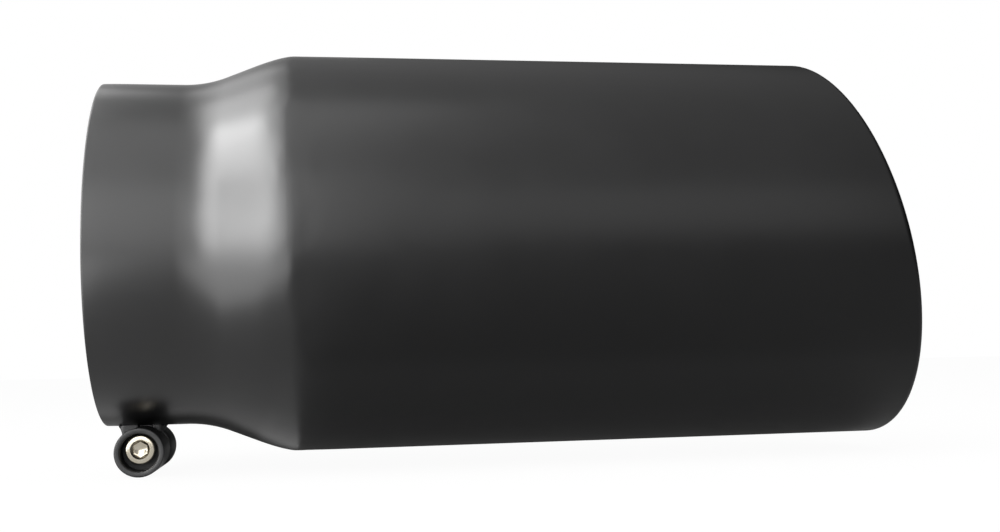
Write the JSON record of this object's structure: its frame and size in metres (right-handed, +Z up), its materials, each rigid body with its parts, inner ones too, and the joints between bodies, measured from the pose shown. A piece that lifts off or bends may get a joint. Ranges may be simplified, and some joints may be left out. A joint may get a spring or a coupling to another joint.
{
  "type": "exhaust tip",
  "caption": "Black exhaust tip: a flared inlet sleeve with a screw clamp under it, welded to a wider outlet tube whose angled end is rolled to a rounded lip.",
  "frame": {"origin": "centre of the inlet sleeve's open end, where the tail pipe goes in", "axes": "+X along the tube to the outlet, +Z up, with the clamp barrels and the long side of the angled end at -Z and the screw's head at -Y"},
  "size_m": [0.3048, 0.1524, 0.1588],
  "materials": {
    "powder_coat": "satin black powder coat on stainless sheet",
    "coated_weld": "satin black powder coat over weld metal",
    "coated_barrel": "matt black powder coat on turned steel",
    "bare_screw": "bare stainless steel"
  },
  "bodies": {
    "root": {"inlet_sleeve": "powder_coat", "outlet_tube": "powder_coat", "joint_weld": "coated_weld", "screw_barrel": "coated_barrel", "threaded_barrel": "coated_barrel", "screw_barrel_welds": "coated_weld", "threaded_barrel_welds": "coated_weld", "clamp_screw": "bare_screw"}
  },
  "joints": []
}
